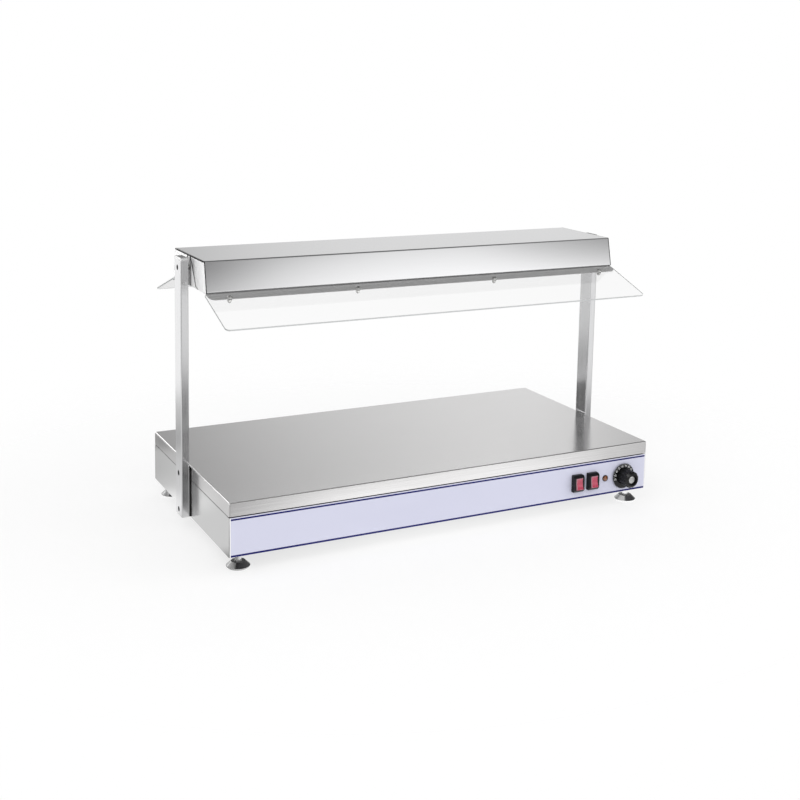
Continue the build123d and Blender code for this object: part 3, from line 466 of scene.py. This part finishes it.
def red_polycarbonate():
    """Translucent red rocker, moulded and glossy, with its side faces painted pinker as a painted highlight
    where the edges catch light.
    """
    made, tree, shader = start_material("red_polycarbonate", IOR=1.58, Coat_Weight=0.4, Coat_Roughness=0.08)
    cloud = stretched_noise(tree, (9.0, 9.0, 12.0))
    normal = add(tree, "ShaderNodeNewGeometry").outputs["Normal"]
    back = add(tree, "ShaderNodeSeparateXYZ", {"Vector": normal}).outputs["Y"]
    # painted highlight: faces that don't look straight out are painted a paler pink
    side = add(tree, "ShaderNodeMath", {0: back, 1: rocker_highlight_side_above}, operation="GREATER_THAN").outputs[0]
    face = add(tree, "ShaderNodeMix", {0: cloud, 6: tone("#A81A3E"), 7: tone("#C23C5E")}, data_type="RGBA")
    both = add(tree, "ShaderNodeMix", {0: side, 6: face.outputs[2], 7: tone("#AE7A86")}, data_type="RGBA")
    tree.links.new(both.outputs[2], shader.inputs["Base Color"])
    vary(tree, shader, "Roughness", cloud, 0.18, 0.30)
    return made


def amber_polycarbonate():
    """Amber lens of an unlit pilot lamp: brown, with orange patches painted in as glints."""
    made, tree, shader = start_material("amber_polycarbonate", IOR=1.58, Coat_Weight=0.5, Coat_Roughness=0.05)
    # painted glints: orange patches in the brown base colour
    glint_patches = stretched_noise(tree, (2.2, 2.2, 2.2), 1.0)
    tint(tree, shader, glint_patches, "#5A2C0E", "#9A5820")
    vary(tree, shader, "Roughness", glint_patches, 0.12, 0.25)
    return made


def steatite():
    """Unglazed steatite ceramic: chalky cream with fine pits."""
    made, tree, shader = start_material("steatite", IOR=1.6)
    pits = stretched_noise(tree, (0.8, 0.8, 0.8), 4.0)
    tint(tree, shader, pits, "#DAD7CC", "#EAE8DF")
    vary(tree, shader, "Roughness", pits, 0.6, 0.8)
    raise_grain(tree, shader, pits, 0.05)
    return made


def mineral_fibre():
    """Mineral fibre mat: loose straw-coloured strands."""
    made, tree, shader = start_material("mineral_fibre", IOR=1.5)
    strands = stretched_noise(tree, (9.0, 1.5, 1.5), 6.0)
    tint(tree, shader, strands, "#B9B097", "#DBD4BF")
    vary(tree, shader, "Roughness", strands, 0.85, 0.95)
    raise_grain(tree, shader, strands, 0.6)
    return made


def screen_ink():
    """White screen ink of the dial's scale: matt, slightly uneven."""
    made, tree, shader = start_material("screen_ink", IOR=1.5)
    specks = stretched_noise(tree, (0.6, 0.6, 0.6))
    tint(tree, shader, specks, "#DEDEDE", "#F2F2F2")
    vary(tree, shader, "Roughness", specks, 0.45, 0.6)
    return made


def dress_nodes(frame):
    """Gives every solid the material of its slot in the record, or its own where it has one."""
    finishes = {
        "brushed_plate": brushed_stainless_plate(),
        "stainless_sheet": polished_stainless_sheet(),
        "post_tube": polished_stainless_tube(),
        "satin_cap": satin_stainless_cap(),
        "bracket_sheet": ground_stainless_strip(),
        "bright_foot": turned_steel_foot(),
        "guard_wire": chromed_wire(),
        "fastener_steel": zinc_plated_steel(),
        "zinc_sheet": galvanised_sheet(),
        "element_sheath": oxidised_steel_tube(),
        "reflector_sheet": rolled_aluminium(),
        "bright_cap": spun_aluminium_cap(),
        "brass_blade": stamped_brass(),
        "printed_film": printed_polyester_film(),
        "clear_pane": cast_acrylic_sheet(),
        "quartz": fused_quartz(),
        "black_plastic": moulded_plastic("moulded_nylon", "#0E0E11", "#16161A", roughness=(0.30, 0.42),
                                         grain_mm=0.5, lift_mm=0.006, gloss=0.2),
        "black_rubber": moulded_plastic("moulded_rubber", "#0C0C0C", "#141414", roughness=(0.70, 0.85),
                                        grain_mm=0.6, lift_mm=0.010),
        "lead_sheath": moulded_plastic("extruded_silicone", "#D3CFC3", "#E0DCD0", roughness=(0.5, 0.65),
                                       grain_mm=0.8, lift_mm=0.010),
        "red_rocker": red_polycarbonate(),
        "amber_lens": amber_polycarbonate(),
        "ceramic": steatite(),
        "mineral_mat": mineral_fibre(),
    }
    hood_end = satin_stainless_end()
    own_finish = {
        "hood_shell": hood_stainless_sheet(),
        "hood_left_end": hood_end,
        "hood_right_end": hood_end,
        "thermostat_knob": moulded_plastic("moulded_phenolic", "#0C0C0D", "#141416", roughness=(0.28, 0.38),
                                           grain_mm=0.5, lift_mm=0.006, gloss=0.25),
    }
    for row in frame["record"]["subparts"]:
        skin = frame["nodes"][row["node"]].data.materials
        skin.clear()
        skin.append(own_finish.get(row["node"]) or finishes[row["material_slot"]])


# Scale on the dial's skirt
def skirt_height(radius):
    """How far the skirt's cone stands off the panel at a radius."""
    (inner, high), (outer, low) = skirt_cone
    return high + (low - high) * (radius - inner) / (outer - inner)


def number_outline(number, angle):
    """Flat points and faces of one number, turned so that its top points away from the dial's centre."""
    curve = bpy.data.curves.new("number", "FONT")
    curve.body = str(number)
    curve.size = number_height
    curve.offset = number_weight
    curve.align_x = "CENTER"
    curve.align_y = "CENTER"
    curve.resolution_u = 4
    holder = bpy.data.objects.new("number", curve)
    mesh = bpy.data.meshes.new_from_object(holder)
    turn = math.radians(angle - 90)
    points = []
    for vertex in mesh.vertices:
        x, y = vertex.co.x, vertex.co.y + number_radius
        points.append((x * math.cos(turn) - y * math.sin(turn), x * math.sin(turn) + y * math.cos(turn)))
    faces = [tuple(face.vertices) for face in mesh.polygons]
    bpy.data.meshes.remove(mesh)
    bpy.data.objects.remove(holder)
    bpy.data.curves.remove(curve)
    return points, faces


def tick_outline(angle):
    """Flat points and face of one short line at the skirt's edge."""
    out = Vector((math.cos(math.radians(angle)), math.sin(math.radians(angle))))
    side = Vector((-out.y, out.x)) * tick_width / 2
    near, far = out * tick_radii[0], out * tick_radii[1]
    return [tuple(near - side), tuple(far - side), tuple(far + side), tuple(near + side)], [(0, 1, 2, 3)]


def dial_scale():
    """Plain numbers and lines printed on the skirt, following its cone."""
    outlines = []
    for i, number in enumerate(scale_numbers):
        angle = scale_first_angle - i * scale_step
        outlines.append(number_outline(number, angle))
        outlines.append(tick_outline(angle))
        if i:
            outlines.append(tick_outline(angle + scale_step / 2))
    points, faces = [], []
    for flat, corners in outlines:
        start = len(points)
        for x, z in flat:
            lift = skirt_height(math.hypot(x, z)) + print_lift
            points.append(dial_centre + Vector((x, -lift, z)))
        faces += [[start + corner for corner in face] for face in corners]
    mesh = bpy.data.meshes.new("dial_scale")
    mesh.from_pydata(points, [], faces)
    mesh.materials.append(screen_ink())
    scale = bpy.data.objects.new("dial_scale", mesh)
    bpy.context.scene.collection.objects.link(scale)
    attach(scale, "dial")


# Studio
def aim(place, target):
    """Turn that makes a lamp at a place face a target."""
    return (Vector(target) - Vector(place)).to_track_quat("-Z", "Y").to_euler()


def soft_lamp(name, place, size, power):
    """A large area lamp that metal doesn't mirror."""
    light = bpy.data.lights.new(name, "AREA")
    light.shape = "RECTANGLE"
    light.size, light.size_y = size
    light.energy = power
    lamp = bpy.data.objects.new(name, light)
    lamp.location = place
    lamp.rotation_euler = aim(place, lamp_target)
    lamp.visible_glossy = False
    bpy.context.scene.collection.objects.link(lamp)


def heading(azimuth, elevation):
    """Unit vector of a direction in the room."""
    a, e = math.radians(azimuth), math.radians(elevation)
    return (math.sin(a) * math.cos(e), math.cos(a) * math.cos(e), math.sin(e))


def room():
    """White where it is seen directly or through glass, shaded where metal mirrors it, and an even light."""
    world = bpy.data.worlds.new("soft_room")
    world.use_nodes = True
    bpy.context.scene.world = world
    tree = world.node_tree
    tree.nodes.clear()
    toward = add(tree, "ShaderNodeTexCoord").outputs["Generated"]
    up = add(tree, "ShaderNodeSeparateXYZ", {"Vector": toward}).outputs["Z"]
    glow = add(tree, "ShaderNodeMapRange", {"Value": up, "From Min": room_rise[0], "From Max": room_rise[1],
                                            "To Min": room_low, "To Max": room_high},
               interpolation_type="SMOOTHSTEP").outputs["Result"]
    for azimuth, elevation, half_width, change in room_areas:
        middle = heading(azimuth, elevation)
        edge = math.cos(math.radians(half_width))
        near = add(tree, "ShaderNodeVectorMath", {0: toward, 1: middle}, operation="DOT_PRODUCT")
        area = add(tree, "ShaderNodeMapRange", {"Value": near.outputs["Value"], "From Min": edge,
                                                "From Max": 1.0, "To Max": change},
                   interpolation_type="SMOOTHSTEP")
        glow = add(tree, "ShaderNodeMath", {0: glow, 1: area.outputs["Result"]}, operation="ADD").outputs[0]
    path = add(tree, "ShaderNodeLightPath").outputs
    seen = add(tree, "ShaderNodeMath", {0: path["Is Camera Ray"], 1: path["Is Transmission Ray"]},
               operation="MAXIMUM")
    white = tone("#FFFFFF")
    even = add(tree, "ShaderNodeBackground", {"Color": white, "Strength": ambient_level})
    shaded = add(tree, "ShaderNodeBackground", {"Color": white, "Strength": glow})
    plain = add(tree, "ShaderNodeBackground", {"Color": white, "Strength": 1.0})
    lit = add(tree, "ShaderNodeMixShader", {0: path["Is Glossy Ray"], 1: even.outputs[0],
                                            2: shaded.outputs[0]})
    whole = add(tree, "ShaderNodeMixShader", {0: seen.outputs[0], 1: lit.outputs[0], 2: plain.outputs[0]})
    add(tree, "ShaderNodeOutputWorld", {"Surface": whole.outputs[0]})


def table():
    """A white table that keeps a pale shadow and fades into the white room at its edges; in mirrors it glows,
    with painted patches of light and shade.
    """
    half_x, half_y = table_half
    mesh = bpy.data.meshes.new("table")
    corners = [(-half_x, -half_y, 0), (half_x, -half_y, 0), (half_x, half_y, 0), (-half_x, half_y, 0)]
    mesh.from_pydata(corners, [], [(0, 1, 2, 3)])
    top = bpy.data.objects.new("table", mesh)
    bpy.context.scene.collection.objects.link(top)
    made = bpy.data.materials.new("white_table")
    made.use_nodes = True
    tree = made.node_tree
    tree.nodes.clear()
    place = add(tree, "ShaderNodeTexCoord").outputs["Object"]
    mirrored = table_level
    # painted light and shade: soft brighter and darker patches on the glow that mirrors see
    for x, y, radius, change in table_patches:
        gap = add(tree, "ShaderNodeVectorMath", {0: place, 1: (x, y, 0.0)}, operation="DISTANCE")
        patch = add(tree, "ShaderNodeMapRange", {"Value": gap.outputs["Value"], "From Max": radius,
                                                 "To Min": change, "To Max": 0.0},
                    interpolation_type="SMOOTHSTEP").outputs["Result"]
        mirrored = add(tree, "ShaderNodeMath", {0: patch, 1: mirrored}, operation="ADD").outputs[0]
    path = add(tree, "ShaderNodeLightPath").outputs
    direct = add(tree, "ShaderNodeMath", {0: path["Is Camera Ray"], 1: path["Is Transmission Ray"]},
                 operation="MAXIMUM")
    shown = add(tree, "ShaderNodeMath", {0: direct.outputs[0], 1: table_glow}, operation="MULTIPLY")
    # a ray through a clear pane counts as glossy too, and isn't a mirrored one
    mirror = add(tree, "ShaderNodeMath", {0: path["Is Glossy Ray"], 1: path["Is Transmission Ray"]},
                 operation="SUBTRACT", use_clamp=True).outputs[0]
    share = add(tree, "ShaderNodeMath", {0: shown.outputs[0], 1: mirror}, operation="MAXIMUM")
    lowest = add(tree, "ShaderNodeMath", {0: mirrored, 1: table_darkest}, operation="MAXIMUM")
    strength = add(tree, "ShaderNodeMix", {0: mirror, 2: table_white, 3: lowest.outputs[0]})
    paint = add(tree, "ShaderNodeBsdfDiffuse", {"Color": tone("#F6F6F6")})
    light = add(tree, "ShaderNodeEmission", {"Strength": strength.outputs[0]})
    surface = add(tree, "ShaderNodeMixShader", {0: share.outputs[0], 1: paint.outputs[0],
                                                2: light.outputs[0]})
    to_share = (1 / half_x, 1 / half_y, 0.0)
    shrunk = add(tree, "ShaderNodeVectorMath", {0: place, 1: to_share}, operation="MULTIPLY")
    reach = add(tree, "ShaderNodeVectorMath", {0: shrunk.outputs[0]}, operation="LENGTH")
    fades = []
    for near, far in (table_fade, mirror_fade):
        fade = add(tree, "ShaderNodeMapRange", {"Value": reach.outputs["Value"], "From Min": near,
                                                "From Max": far}, interpolation_type="SMOOTHSTEP")
        fades.append(fade.outputs["Result"])
    faded = add(tree, "ShaderNodeMix", {0: mirror, 2: fades[0], 3: fades[1]})
    clear = add(tree, "ShaderNodeBsdfTransparent")
    whole = add(tree, "ShaderNodeMixShader", {0: faded.outputs[0], 1: surface.outputs[0],
                                              2: clear.outputs[0]})
    add(tree, "ShaderNodeOutputMaterial", {"Surface": whole.outputs[0]})
    mesh.materials.append(made)


def camera():
    """The eye that took the photo, with its lens shifted down."""
    lens = bpy.data.cameras.new("camera")
    lens.lens = camera_lens
    lens.shift_y = camera_shift
    eye = bpy.data.objects.new("camera", lens)
    eye.location = camera_place
    eye.rotation_euler = [math.radians(angle) for angle in camera_turn]
    bpy.context.scene.collection.objects.link(eye)
    bpy.context.scene.camera = eye


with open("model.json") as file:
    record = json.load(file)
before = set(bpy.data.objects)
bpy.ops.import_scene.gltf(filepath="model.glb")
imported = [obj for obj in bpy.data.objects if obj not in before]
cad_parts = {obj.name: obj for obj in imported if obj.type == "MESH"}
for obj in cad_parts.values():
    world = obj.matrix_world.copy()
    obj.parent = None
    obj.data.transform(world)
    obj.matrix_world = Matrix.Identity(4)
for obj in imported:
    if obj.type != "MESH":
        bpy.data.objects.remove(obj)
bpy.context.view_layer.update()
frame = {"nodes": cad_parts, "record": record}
bpy.context.scene.view_settings.view_transform = "Standard"
camera()
room()
table()
soft_lamp("key_lamp", **key_lamp)
soft_lamp("fill_lamp", **fill_lamp)
dress_nodes(frame)
dial_scale()
